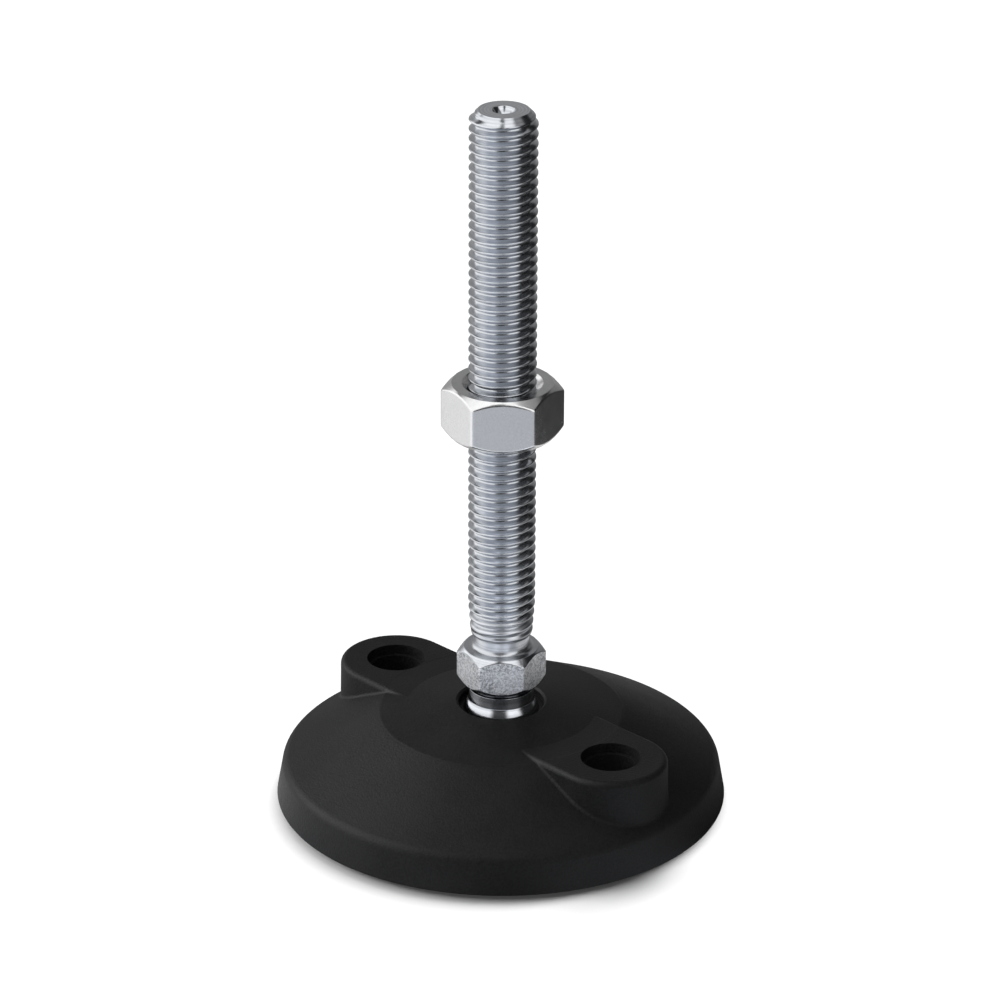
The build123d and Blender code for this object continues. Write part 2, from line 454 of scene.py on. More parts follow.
class Nodes:
    """Adds and links the nodes of one tree."""

    # A Mix node has sockets for each kind of value. These are the ones for numbers and for colours.
    NUMBERS = (2, 3)
    COLOURS = (6, 7)
    MIXED_COLOUR = 2

    def __init__(self, tree: bpy.types.NodeTree) -> None:
        """Empties the tree and works on it."""
        self.tree = tree
        tree.nodes.clear()

    def add(self, kind: str, inputs: dict | None = None, **settings: object) -> bpy.types.Node:
        """Adds a node.

        Args:
            kind: Its type, without the word ShaderNode.
            inputs: Values or output sockets for its inputs, by name or number.
            settings: Its own properties.

        Returns:
            The node.
        """
        node = self.tree.nodes.new(kind if kind.startswith("Node") else "ShaderNode" + kind)
        for name, value in settings.items():
            setattr(node, name, value)
        for key, value in (inputs or {}).items():
            if isinstance(value, Socket):
                self.tree.links.new(value, node.inputs[key])
            else:
                node.inputs[key].default_value = value
        return node

    def group(self, tree: bpy.types.NodeTree, inputs: dict) -> Socket:
        """The output of a node group, placed here with these inputs."""
        return self.add("Group", inputs, node_tree=tree).outputs[0]

    def math(self, operation: str, *values: Value) -> Socket:
        """The result of a Math node on these values or sockets."""
        return self.add("Math", dict(enumerate(values)), operation=operation).outputs[0]

    def length(self, first: Value, second: Value) -> Socket:
        """The root of the sum of two squares."""
        squares = (self.math("MULTIPLY", part, part) for part in (first, second))
        return self.math("SQRT", self.math("ADD", *squares))

    def ramp(self, value: Value, low: float, high: float, start: float = 0.0, end: float = 1.0) -> Socket:
        """A smooth step.

        Args:
            value: What it follows.
            low: Value at which it begins.
            high: Value at which it is over.
            start: Result before it.
            end: Result after it.

        Returns:
            The result's socket.
        """
        inputs = {"Value": value, "From Min": low, "From Max": high, "To Min": start, "To Max": end}
        return self.add("MapRange", inputs, interpolation_type="SMOOTHSTEP").outputs[0]

    def blend(self, factor: Value, first: Value, second: Value) -> Socket:
        """A number between two numbers."""
        ends = dict(zip(self.NUMBERS, (first, second)))
        return self.add("Mix", {"Factor": factor, **ends}).outputs[0]

    def mix(self, factor: Value, first: Socket | Colour, second: Socket | Colour) -> Socket:
        """A colour between two colours.

        Args:
            factor: 0 for the first one, 1 for the second one.
            first: A colour or its socket.
            second: The same.

        Returns:
            The result's socket.
        """
        colours = (c if isinstance(c, Socket) else (*c, 1.0) for c in (first, second))
        ends = dict(zip(self.COLOURS, colours))
        return self.add("Mix", {"Factor": factor, **ends}, data_type="RGBA").outputs[self.MIXED_COLOUR]


def new_group(name: str, inputs: dict[str, str], output: tuple[str, str]) -> tuple[bpy.types.NodeTree, Nodes]:
    """Makes a shader node group with named sockets.

    Args:
        name: The group's name.
        inputs: Socket kinds by name, such as Float or Vector.
        output: Name and kind of its output.

    Returns:
        The group, and the helper that fills it.
    """
    group = bpy.data.node_groups.new(name, "ShaderNodeTree")
    for label, kind in inputs.items():
        group.interface.new_socket(label, in_out="INPUT", socket_type="NodeSocket" + kind)
    label, kind = output
    group.interface.new_socket(label, in_out="OUTPUT", socket_type="NodeSocket" + kind)
    return group, Nodes(group)


def new_material(name: str) -> tuple[bpy.types.Material, Nodes]:
    """Makes an empty material.

    Args:
        name: Its name.

    Returns:
        The material, and the helper that fills its tree.
    """
    material = bpy.data.materials.new(name)
    material.use_nodes = True
    return material, Nodes(material.node_tree)


@dataclass(frozen=True)
class Mottle:
    """Cloudy change over a surface with a finer grain on it.

    Attributes:
        cloud: Scale of the clouds, for lengths in metres.
        grain: Scale of the grain.
        share: Share of the grain.
    """

    cloud: float
    grain: float
    share: float


@dataclass(frozen=True)
class Spangle:
    """Specks and upright smears of drawn, plated steel, denser in some patches than in others.

    Attributes:
        specks: The noise that they come from.
        stretch: Scale of the smears along the axis, against that of the specks.
        patches: Scale of the patches.
        smeared: Patch values between which specks turn to smears.
        dense: Patch values between which they get denser.
        sparse: Their strength where they are sparse.
        speck_edge: Values of the noise between which a speck begins.
    """

    specks: Mottle = Mottle(cloud=2300.0, grain=4800.0, share=0.5)
    stretch: float = 0.22
    patches: float = 190.0
    smeared: Span = (0.5, 0.72)
    dense: Span = (0.38, 0.62)
    sparse: float = 0.55
    speck_edge: Span = (0.44, 0.58)


class Effects:
    """Surface effects that several finishes share, each one a node group made once.

    Attributes:
        RING_SCALE: Scale of the rings' noise, for lengths in metres.
        spangle: The group with specks and smears.
        rings: The group with fine rings.
    """

    RING_SCALE = 2000.0

    def __init__(self) -> None:
        """Builds the groups."""
        self._mottle = self._mottle_group()
        self._band = self._band_group()
        self.spangle = self._spangle_group(Spangle())
        self.rings = self._rings_group()

    def mottle(self, nodes: Nodes, place: Socket, values: Mottle) -> Socket:
        """A mottled value.

        Args:
            nodes: The tree that needs it.
            place: The point on the surface.
            values: Sizes of its noises.

        Returns:
            The value's socket.
        """
        return nodes.group(self._mottle, {
            "Vector": place, "Cloud Scale": values.cloud, "Grain Scale": values.grain,
            "Grain Share": values.share})

    def band(self, nodes: Nodes, place: Socket, low: float, high: float, outside: float,
             softness: float = MASK_EDGE) -> Socket:
        """The mask of a band round the axis.

        Args:
            nodes: The tree that needs it.
            place: The point on the surface.
            low: Height at which it begins, in millimetres.
            high: Height at which it ends.
            outside: Radius outside which it lies.
            softness: Width of its soft edges.

        Returns:
            The mask's socket, 1 in the band.
        """
        return nodes.group(self._band, {
            "Vector": place, "From": low * MM, "To": high * MM, "Outside": outside * MM,
            "Softness": softness * MM})

    @staticmethod
    def _mottle_group() -> bpy.types.NodeTree:
        """Two noises of different size, mixed.

        Returns:
            The group.
        """
        inputs = {"Vector": "Vector", "Cloud Scale": "Float", "Grain Scale": "Float", "Grain Share": "Float"}
        group, nodes = new_group("mottle", inputs, ("Value", "Float"))
        given = nodes.add("NodeGroupInput").outputs
        cloud, grain = (
            nodes.add("TexNoise", {
                "Vector": given["Vector"], "Scale": given[scale], "Detail": detail}).outputs[0]
            for scale, detail in (("Cloud Scale", RICH_DETAIL), ("Grain Scale", PLAIN_DETAIL)))
        clouds = nodes.math("MULTIPLY", cloud, nodes.math("SUBTRACT", 1.0, given["Grain Share"]))
        both = nodes.math("MULTIPLY_ADD", grain, given["Grain Share"], clouds)
        nodes.add("NodeGroupOutput", {"Value": both})
        return group

    def _spangle_group(self, values: Spangle) -> bpy.types.NodeTree:
        """Specks and smears: the same mottle on plain and on stretched places, cut at a value.

        Args:
            values: Sizes of the spangle.

        Returns:
            The group.
        """
        group, nodes = new_group("spangle", {"Vector": "Vector"}, ("Value", "Float"))
        place = nodes.add("NodeGroupInput").outputs[0]
        tall = nodes.add("Mapping", {"Vector": place, "Scale": (1.0, 1.0, values.stretch)}).outputs[0]
        specks, smears = (self.mottle(nodes, where, values.specks) for where in (place, tall))
        patch = nodes.add("TexNoise", {
            "Vector": place, "Scale": values.patches, "Detail": PLAIN_DETAIL}).outputs[0]
        both = nodes.blend(nodes.ramp(patch, *values.smeared), specks, smears)
        dense = nodes.ramp(patch, *values.dense, values.sparse, 1.0)
        value = nodes.math("MULTIPLY", nodes.ramp(both, *values.speck_edge), dense)
        nodes.add("NodeGroupOutput", {"Value": value})
        return group

    def _rings_group(self) -> bpy.types.NodeTree:
        """Fine rings about the axis: a noise that depends on radius and height alone.

        Returns:
            The group.
        """
        group, nodes = new_group("rings", {"Vector": "Vector"}, ("Value", "Float"))
        place = nodes.add("SeparateXYZ", {0: nodes.add("NodeGroupInput").outputs[0]}).outputs
        radius = nodes.length(place[0], place[1])
        section = nodes.add("CombineXYZ", {0: radius, 2: place[2]}).outputs[0]
        noise = nodes.add("TexNoise", {
            "Vector": section, "Scale": self.RING_SCALE, "Detail": RICH_DETAIL}).outputs[0]
        nodes.add("NodeGroupOutput", {"Value": nodes.ramp(noise, *SPREAD)})
        return group

    @staticmethod
    def _band_group() -> bpy.types.NodeTree:
        """A band between two heights and outside a radius: a smooth step on the nearest of its three edges.

        Returns:
            The group.
        """
        inputs = {"Vector": "Vector", **dict.fromkeys(("From", "To", "Outside", "Softness"), "Float")}
        group, nodes = new_group("band", inputs, ("Mask", "Float"))
        given = nodes.add("NodeGroupInput").outputs
        place = nodes.add("SeparateXYZ", {0: given["Vector"]}).outputs
        radius = nodes.length(place[0], place[1])
        edges = ((place[2], given["From"]), (radius, given["Outside"]), (given["To"], place[2]))
        steps = [nodes.math("DIVIDE", nodes.math("SUBTRACT", value, edge), given["Softness"])
                 for value, edge in edges]
        inside = nodes.math("MINIMUM", nodes.math("MINIMUM", steps[0], steps[1]), steps[2])
        nodes.add("NodeGroupOutput", {"Mask": nodes.ramp(inside, 0.0, 1.0)})
        return group


@dataclass(frozen=True)
class NylonFinish:
    """Matte black glass-filled nylon with the fine grain of the mould.

    Attributes:
        colour: Colour of the skin.
        dusty: Colour of its paler clouds.
        mottle: Those clouds.
        roughness: Roughness on the grained cone.
        smooth_roughness: Roughness on the crown.
        unevenness: How far the roughness changes over the clouds.
        specular: Strength of the plain reflection.
        grain_scale: Scale of the grain, for lengths in metres.
        grain_roughness: Strength of the grain's finer layers.
        grain_depth: Height of the grain.
        smooth_grain: Share of that height on the crown.
        grain_edge: Width over which the grain begins.
    """

    colour: Colour = (0.003, 0.003, 0.003)
    dusty: Colour = (0.0075, 0.0075, 0.0075)
    mottle: Mottle = Mottle(cloud=90.0, grain=2600.0, share=0.55)
    roughness: float = 0.56
    smooth_roughness: float = 0.5
    unevenness: float = 0.05
    specular: float = 0.13
    grain_scale: float = 2600.0
    grain_roughness: float = 0.6
    grain_depth: float = 0.08
    smooth_grain: float = 0.45
    grain_edge: float = 0.9

    def material(self, effects: Effects, grain_from: float) -> bpy.types.Material:
        """Makes the material.

        Args:
            effects: Shared node groups.
            grain_from: Radius outside which the skin is grained.

        Returns:
            The material.
        """
        material, nodes = new_material("moulded_nylon")
        place = nodes.add("TexCoord").outputs["Object"]
        cloud = effects.mottle(nodes, place, self.mottle)
        cone = effects.band(nodes, place, -FAR, FAR, grain_from, self.grain_edge)
        colour = nodes.mix(nodes.ramp(cloud, *SPREAD), self.colour, self.dusty)
        roughness = nodes.math("ADD", nodes.ramp(cone, 0.0, 1.0, self.smooth_roughness, self.roughness),
                               nodes.ramp(cloud, *WIDE_SPREAD, -self.unevenness, self.unevenness))
        grain = nodes.add("TexNoise", {
            "Vector": place, "Scale": self.grain_scale, "Detail": RICH_DETAIL,
            "Roughness": self.grain_roughness}).outputs[0]
        height = nodes.math("MULTIPLY", grain, nodes.ramp(cone, 0.0, 1.0, self.smooth_grain, 1.0))
        bump = nodes.add("Bump", {"Height": height, "Distance": self.grain_depth * MM})
        shader = nodes.add("BsdfPrincipled", {
            "Base Color": colour, "Roughness": roughness, "Normal": bump.outputs[0],
            "Specular IOR Level": self.specular})
        nodes.add("OutputMaterial", {"Surface": shader.outputs[0]})
        return material


@dataclass(frozen=True)
class ShadeOrMatteBand:
    """A stretch of the plating, inside a radius and between two heights, darkened with painted shade or more
    matte.

    Attributes:
        low: Where it begins.
        high: Where it ends.
        radius: Its outer radius.
        softness: Width of its soft edges.
        share: Share of the shade in it, painted shade in the colour.
        matte: Roughness that it adds.
    """

    low: float
    high: float
    radius: float
    softness: float = MASK_EDGE
    share: float = 0.0
    matte: float = 0.0


@dataclass(frozen=True)
class ZincFinish:
    """Bright zinc plating on steel, spangled on the flats where the bar was left as drawn.

    Attributes:
        name: The material's name.
        colour: Reflected colour.
        shade: Darker reflected colour, for clouds, rings and spangle, and for painted shade.
        roughness: Roughness of the bright plating.
        cloud: Share of the shade in the clouds of the bright plating.
        drawn_colour: Reflected colour of the drawn flats.
        drawn_roughness: Roughness of the drawn flats.
        drawn_cloud: Share of the shade in the spangle of the drawn flats.
        drawn_depth: Height of that spangle.
        edge_line_shade: Share of the shade along the edge between flat and cone, painted there as a dark
            line.
        level_face_shade: Share of the shade on level faces, painted there to darken them.
        turning: Share of the shade in the fine rings that turning leaves.
        mottle: The clouds.
        unevenness: Change of the roughness at either end of the clouds.
        shade_or_matte_bands: Where shade is painted into the plating's colour, or where it is more matte.
    """

    name: str
    colour: Colour
    shade: Colour
    roughness: float
    cloud: float
    drawn_colour: Colour
    drawn_roughness: float
    drawn_cloud: float
    drawn_depth: float
    edge_line_shade: float
    level_face_shade: float = 0.0
    turning: float = 0.0
    mottle: Mottle = Mottle(cloud=260.0, grain=900.0, share=0.4)
    unevenness: Span = (-0.03, 0.05)
    shade_or_matte_bands: tuple[ShadeOrMatteBand, ...] = ()

    def material(self, effects: Effects, hexagon: Hexagon, margin: float = 0.0) -> bpy.types.Material:
        """Makes the material.

        Args:
            effects: Shared node groups.
            hexagon: The part that was left as drawn.
            margin: How far inside the radius of its end faces the drawn surface begins.

        Returns:
            The material.
        """
        material, nodes = new_material(self.name)
        source = nodes.add("TexCoord").outputs
        place = source["Object"]
        lean = nodes.math("ABSOLUTE", nodes.add("SeparateXYZ", {0: source["Normal"]}).outputs[2])
        upright = nodes.ramp(lean, *FLAT_LEAN, 1.0, 0.0)
        edge = nodes.math("SUBTRACT", nodes.ramp(lean, *CONE_LEAN, 1.0, 0.0), upright)
        bar = effects.band(nodes, place, hexagon.bottom, hexagon.top, hexagon.face_radius - margin)
        drawn = nodes.math("MULTIPLY", bar, upright)
        cloud = effects.mottle(nodes, place, self.mottle)
        spangle, rings = (nodes.group(tree, {"Vector": place}) for tree in (effects.spangle, effects.rings))
        plain = nodes.math("MULTIPLY", nodes.ramp(cloud, *SPREAD), self.cloud)
        plain = nodes.math("MULTIPLY_ADD", rings, self.turning, plain)
        # Level faces darkened in colour: painted shade.
        plain = nodes.math("MULTIPLY_ADD", nodes.ramp(lean, *LEVEL_LEAN), self.level_face_shade, plain)
        share = nodes.blend(drawn, plain, nodes.math("MULTIPLY", spangle, self.drawn_cloud))
        # A dark line painted along the edge between flat and cone: painted shade.
        edge_line_shaded = nodes.math("MULTIPLY", nodes.math("MULTIPLY", bar, edge), self.edge_line_shade)
        share = nodes.math("MAXIMUM", share, edge_line_shaded)
        roughness = nodes.math("ADD", nodes.ramp(drawn, 0.0, 1.0, self.roughness, self.drawn_roughness),
                               nodes.ramp(cloud, *WIDE_SPREAD, *self.unevenness))
        # Painted shade in each band's colour, and its extra roughness.
        for shade_or_matte in self.shade_or_matte_bands:
            whole, outer = (effects.band(nodes, place, shade_or_matte.low, shade_or_matte.high, radius, shade_or_matte.softness)
                            for radius in (-FAR, shade_or_matte.radius))
            inside = nodes.math("SUBTRACT", whole, outer)
            share = nodes.math("MAXIMUM", share, nodes.math("MULTIPLY", inside, shade_or_matte.share))
            roughness = nodes.math("MULTIPLY_ADD", inside, shade_or_matte.matte, roughness)
        colour = nodes.mix(share, nodes.mix(drawn, self.colour, self.drawn_colour), self.shade)
        height = nodes.math("MULTIPLY", spangle, drawn)
        bump = nodes.add("Bump", {"Height": height, "Distance": self.drawn_depth * MM})
        shader = nodes.add("BsdfPrincipled", {
            "Base Color": colour, "Roughness": roughness, "Normal": bump.outputs[0], "Metallic": 1.0})
        nodes.add("OutputMaterial", {"Surface": shader.outputs[0]})
        return material


@dataclass
class MouldedBase:
    """The moulded base, shown as its own solid with the nylon's finish.

    Attributes:
        shoulder_radius: Where the smooth crown meets the grained cone.
        finish: Its surface.
    """

    shoulder_radius: float = 21.6
    finish: NylonFinish = NylonFinish()

    def dress(self, node: bpy.types.Object, effects: Effects) -> None:
        """Gives the base its material.

        Args:
            node: The base's solid.
            effects: Shared node groups.
        """
        material = self.finish.material(effects, self.shoulder_radius)
        node.data.materials.clear()
        node.data.materials.append(material)
        LOG.info("base: %d faces", len(node.data.polygons))


@dataclass
class ThreadedStem:
    """The turned stem: ball, lower neck, hexagon, upper neck, rolled thread and chamfered tip.

    Attributes:
        ball_height: Height of the ball's centre.
        ball_radius: The ball.
        tip_height: Height of the flat tip.
        columns: The grid's columns.
        hexagon: The spanner flats.
        lower_neck_radius: Between ball and hexagon.
        relief_height: Height of the groove under the hexagon.
        relief_depth: Depth of that groove in the neck.
        neck_round: Hollow round at the upper neck's foot.
        neck_gap: How far the upper neck lies inside the thread's grooves.
        blank_radius: The bar that the thread was rolled on.
        runout_bottom: Height at which that bar ends on the upper neck.
        runout_step: Height of the bar's rounded end.
        runout_start: Height above the bar's end at which the thread begins.
        groove_full: Height above the bar's end at which the grooves are full.
        crest_full: Height above the bar's end at which the crests are full.
        end_round: How softly the thread ends at the tip's cone, as a difference of radius.
        tip_chamfer: Width of the cone at the tip.
        hole_radius: Mouth of the turning centre.
        hole_deg: Full angle of the turning centre.
        thread: The rolled thread.
        finish: Its surface. Painted shade darkens the groove under the hexagon, the ring on top of it with
            the
        foot of the hollow round, and the thread's roots; neck and run-out are more matte.
    """

    ball_height: float
    ball_radius: float
    tip_height: float
    columns: Columns
    hexagon: Hexagon = Hexagon(flats=13.8, bottom=21.4, top=28.4, face_inset=0.3, chamfer_deg=45.0)
    lower_neck_radius: float = 5.75
    relief_height: float = 1.0
    relief_depth: float = 0.6
    neck_round: float = 0.95
    neck_gap: float = 0.01
    blank_radius: float = 5.54
    runout_bottom: float = 30.9
    runout_step: float = 1.2
    runout_start: float = 0.2
    groove_full: float = 2.7
    crest_full: float = 7.4
    end_round: float = 0.2
    tip_chamfer: float = 1.46
    hole_radius: float = 2.0
    hole_deg: float = 60.0
    thread: Thread = Thread()
    # The stem gets a painted dark line of shade along the hexagon's edges.
    finish: ZincFinish = ZincFinish(
        "zinc_plated_stem", colour=(0.69, 0.71, 0.745), shade=(0.18, 0.19, 0.205), roughness=0.15,
        cloud=0.08, drawn_colour=(0.93, 0.94, 0.97), drawn_roughness=0.32, drawn_cloud=0.76,
        drawn_depth=0.05, edge_line_shade=0.7, turning=0.3, shade_or_matte_bands=(
            # Painted shade, black in the groove under the hexagon.
            ShadeOrMatteBand(low=20.3, high=21.5, radius=5.6, share=1.0),
            # Painted shade on the ring on top of the hexagon and at the foot of the hollow round.
            ShadeOrMatteBand(low=28.2, high=28.75, radius=6.5, share=0.42),
            # More matte, with no painted shade, on neck and run-out.
            ShadeOrMatteBand(low=28.0, high=36.0, radius=6.2, softness=1.2, matte=0.15),
            # Painted shade in the thread's roots and on the neck just under the run-out.
            ShadeOrMatteBand(low=30.4, high=126.9, radius=5.0, softness=0.35, share=0.25)))

    @property
    def upper_neck_radius(self) -> float:
        """The smooth neck, a hair under the thread's grooves."""
        return self.thread.root_radius - self.neck_gap

    def foot(self) -> Array:
        """Ball, lower neck, hexagon and upper neck in one outline, from the bottom up.

        Returns:
            The points, rows by columns by three.
        """
        collar, floor = self.lower_neck_radius, self.lower_neck_radius - self.relief_depth
        ledge = self.hexagon.bottom - self.relief_height
        rise = math.degrees(math.acos(collar / self.ball_radius))
        neck_top = self.hexagon.top + self.neck_round
        head_radius = self.upper_neck_radius + self.neck_round
        outline = Outline(self.columns.round())
        outline.arc((0.0, self.ball_height), self.ball_radius, -90.0, rise, BALL_STEPS)
        outline.corner((collar, self.ball_height), (collar, ledge), (floor, ledge), Reach.CRISP)
        outline.corner((collar, ledge), (floor, ledge), (floor, self.hexagon.bottom), Reach.CRISP)
        self.hexagon.add_to(outline, self.columns, floor, head_radius)
        outline.arc((head_radius, neck_top), self.neck_round, 270.0, 180.0, NECK_STEPS)
        outline.point(self.upper_neck_radius, self.runout_bottom)
        return outline.grid()

    def stud(self) -> Array:
        """The thread between upper neck and tip.

        The radius is the thread's own. Over the run-out the grooves, and more slowly the crests, fade by
        smooth steps into the bar, which ends on the neck with a quarter of an ellipse. At the tip the radius
        is held under the chamfer's cone.

        Returns:
            The points, rows by columns by three.
        """
        angle, height, phase = self.thread.lattice(self.columns, self.runout_bottom, self.tip_height)
        neck = self.upper_neck_radius
        above = height - self.runout_bottom
        relief = self.thread.radius(phase) - self.blank_radius
        bar = self.blank_radius + self._grown(above, self.crest_full) * np.clip(relief, 0.0, None)
        bar = bar + self._grown(above, self.groove_full) * np.clip(relief, None, 0.0)
        short = np.clip(1.0 - above / self.runout_step, 0.0, 1.0)
        bar = bar - (self.blank_radius - neck) * (1.0 - np.sqrt(1.0 - short * short))
        chamfer = self.thread.crest_radius - self.tip_chamfer + (self.tip_height - height)
        radius = smooth_min(bar, chamfer, self.end_round)
        radius = np.where(height >= self.tip_height, chamfer, np.where(above <= 0.0, neck, radius))
        return carried_round(radius, angle, height)

    def _grown(self, above: Array, full: float) -> Array:
        """Share of the thread over the run-out, a smooth step.

        Args:
            above: Heights above the bar's end.
            full: Height at which the share is 1.

        Returns:
            The share at each height.
        """
        share = np.clip((above - self.runout_start) / (full - self.runout_start), 0.0, 1.0)
        return share * share * (3.0 - 2.0 * share)

    def tip(self) -> Array:
        """The flat tip and the conical turning centre in it.

        Returns:
            The points, rows by columns by three.
        """
        edge = self.thread.crest_radius - self.tip_chamfer
        depth = self.hole_radius / math.tan(math.radians(self.hole_deg / 2))
        bottom = (0.0, self.tip_height - depth)
        outline = Outline(self.columns.round())
        outline.point(edge, self.tip_height)
        outline.corner((edge, self.tip_height), (self.hole_radius, self.tip_height), bottom, Reach.BROKEN)
        outline.point(*bottom)
        return outline.grid()

    def build(self, effects: Effects) -> None:
        """Makes the stem, dresses it and puts it in the place of its solid.

        Args:
            effects: Shared node groups.
        """
        material = self.finish.material(effects, self.hexagon, MASK_EDGE)
        piece = Shell("threaded_stem", self.foot(), self.stud(), self.tip()).build(material)
        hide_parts("stem")
        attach(piece, "stem")


@dataclass
class LockNut:
    """The lock nut: chamfered hexagon with a threaded, countersunk bore.

    Attributes:
        bottom: Height of its lower face.
        top: Height of its upper face.
        columns: The grid's columns.
        flats: Width across flats.
        face_inset: How far the round end faces lie inside the flats.
        chamfer_deg: Angle between cone and end face.
        edge_power: Sharpness of the upright edges.
        bore_radius: Inside the nut's own crests.
        countersink_radius: Mouth of the countersink.
        clearance: Gap between the nut's thread and the stem's.
        thread: The stem's thread, which the nut's follows.
        finish: Its surface.
    """

    bottom: float
    top: float
    columns: Columns
    flats: float = 18.7
    face_inset: float = 0.5
    chamfer_deg: float = 38.0
    edge_power: float = 60.0
    bore_radius: float = 5.1
    countersink_radius: float = 7.07
    clearance: float = 0.06
    thread: Thread = Thread()
    # The nut gets painted shade on its level faces and a faint painted dark line along its edges.
    finish: ZincFinish = ZincFinish(
        "zinc_plated_nut", colour=(0.775, 0.775, 0.78), shade=(0.36, 0.365, 0.375), roughness=0.2, cloud=0.1,
        drawn_colour=(0.795, 0.795, 0.8), drawn_roughness=0.24, drawn_cloud=0.12, drawn_depth=0.001,
        edge_line_shade=0.1, level_face_shade=0.5)

    @property
    def hexagon(self) -> Hexagon:
        """Its outside."""
        return Hexagon(self.flats, self.bottom, self.top, self.face_inset, self.chamfer_deg,
                       edge=Reach.EASED, edge_power=self.edge_power)

    def outside(self) -> Array:
        """The hexagon, from the edge of the lower countersink to the edge of the upper one.

        Returns:
            The points, rows by columns by three.
        """
        outline = Outline(self.columns.round())
        self.hexagon.add_to(outline, self.columns, self.countersink_radius, self.countersink_radius)
        return outline.grid()

    def bore(self) -> Array:
        """The threaded bore: the stem's thread with clearance, cut off inside and opened by both cones.

        Returns:
            The points, rows by columns by three, from the top down.
        """
        angle, height, phase = self.thread.lattice(self.columns, self.bottom, self.top)
        tooth = np.maximum(self.thread.radius(phase) + self.clearance, self.bore_radius)
        cone = self.countersink_radius - np.minimum(height - self.bottom, self.top - height)
        return carried_round(np.maximum(tooth, cone), angle, height)[::-1]

    def build(self, effects: Effects) -> None:
        """Makes the nut, dresses it and puts it in the place of its solid.

        Args:
            effects: Shared node groups.
        """
        material = self.finish.material(effects, self.hexagon)
        piece = Shell("hexagon_nut", self.outside(), self.bore()).build(material)
        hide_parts("lock_nut")
        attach(piece, "nut")


@dataclass(frozen=True)
class View:
    """The camera, as fitted to the photograph.

    Attributes:
        azimuth_deg: Angle round the foot, from looking along +Y.
        elevation_deg: Angle above the horizon.
        roll_deg: Turn about the line of sight, which leans the picture to the right.
        distance: From the aim point.
        aim: The point in the middle of the picture.
        focal_length: Of a 36 mm wide sensor.
    """

    azimuth_deg: float = 45.39
    elevation_deg: float = 24.44
    roll_deg: float = 0.24
    distance: float = 836.9
    aim: tuple[float, float, float] = (-0.251, -0.2545, 56.48)
    focal_length: float = 172.8

    def place(self) -> None:
        """Makes the camera and hands it to the scene."""
        around, up = math.radians(self.azimuth_deg), math.radians(self.elevation_deg)
        back = Vector((math.sin(around) * math.cos(up), -math.cos(around) * math.cos(up), math.sin(up)))
        data = bpy.data.cameras.new("camera")
        data.lens = self.focal_length
        camera = bpy.data.objects.new("camera", data)
        camera.location = (Vector(self.aim) + back * self.distance) * MM
        camera.rotation_mode = "QUATERNION"
        roll = Quaternion((0.0, 0.0, 1.0), math.radians(self.roll_deg))
        camera.rotation_quaternion = (-back).to_track_quat("-Z", "Y") @ roll
        bpy.context.scene.collection.objects.link(camera)
        bpy.context.scene.camera = camera


@dataclass(frozen=True)
class Panel:
    """A soft light panel, or a bright stretch of floor, as seen from the foot.

    Attributes:
        left: Azimuth of its left edge, from the camera and growing to the right.
        right: Azimuth of its right edge.
        strength: Its brightness.
        low: Its lower edge, as an elevation. On the floor its near edge, in millimetres from the stem.
        high: Its upper edge, or its far edge on the floor.
        tint: Its colour.
    """

    left: float
    right: float
    strength: float
    low: float | None = None
    high: float | None = None
    tint: Colour = (1.0, 1.0, 1.0)


@dataclass(frozen=True)
class Surround:
    """Brightness all round the foot: a dim level and the panels on it.

    Attributes:
        name: Name of the node group.
        level: Brightness between the panels.
        panels: The panels.
        side_softness: Width of the soft left and right edges, in degrees.
        end_softness: Width of the other soft edges, in degrees or millimetres.
        on_floor: Whether the panels end at distances from the stem in place of elevations.
    """

    name: str
    level: float
    panels: tuple[Panel, ...]
    side_softness: float
    end_softness: float
    on_floor: bool = False

    def group(self, front_deg: float) -> bpy.types.NodeTree:
        """The node group that gives the light from a direction, or from a place on the floor.

        Azimuth is the angle round the foot from the camera. Each panel adds its light between its edges,
        with soft steps.

        Args:
            front_deg: Azimuth of the camera.

        Returns:
            The group, with a Vector input and a Color output.
        """
        group, nodes = new_group(self.name, {"Vector": "Vector"}, ("Color", "Color"))
        given = nodes.add("NodeGroupInput").outputs[0]
        turned = nodes.add("VectorRotate", {"Vector": given, "Angle": -math.radians(front_deg)},
                           rotation_type="Z_AXIS").outputs[0]
        x, y, z = nodes.add("SeparateXYZ", {0: turned}).outputs
        azimuth = nodes.math("DEGREES", nodes.math("ARCTAN2", x, nodes.math("MULTIPLY", y, -1.0)))
        end = nodes.length(x, y)
        if self.on_floor:
            end = nodes.math("DIVIDE", end, MM)
        else:
            end = nodes.math("DEGREES", nodes.math("ARCTAN2", z, end))
        total = (self.level,) * 3
        for panel in self.panels:
            sides = self._between(nodes, azimuth, panel.left, panel.right, self.side_softness)
            ends = self._between(nodes, end, panel.low, panel.high, self.end_softness)
            light = tuple(panel.strength * part for part in panel.tint)
            mask = nodes.math("MULTIPLY", sides, ends)
            lit = nodes.add("VectorMath", {0: light, "Scale": mask}, operation="SCALE").outputs[0]
            total = nodes.add("VectorMath", {0: total, 1: lit}, operation="ADD").outputs[0]
        nodes.add("NodeGroupOutput", {"Color": total})
        return group

    @staticmethod
    def _between(nodes: Nodes, value: Socket, low: float | None, high: float | None,
                 softness: float) -> Value:
        """A mask between two edges, with soft steps.

        Args:
            nodes: The tree that needs it.
            value: What the mask follows.
            low: Its lower edge, if it has one.
            high: Its upper edge, if it has one.
            softness: Width of the steps.

        Returns:
            1 between the edges and 0 outside them.
        """
        mask, half = 1.0, softness / 2
        if low is not None:
            mask = nodes.ramp(value, low - half, low + half)
        if high is not None:
            mask = nodes.math("MULTIPLY", mask, nodes.ramp(value, high - half, high + half, 1.0, 0.0))
        return mask


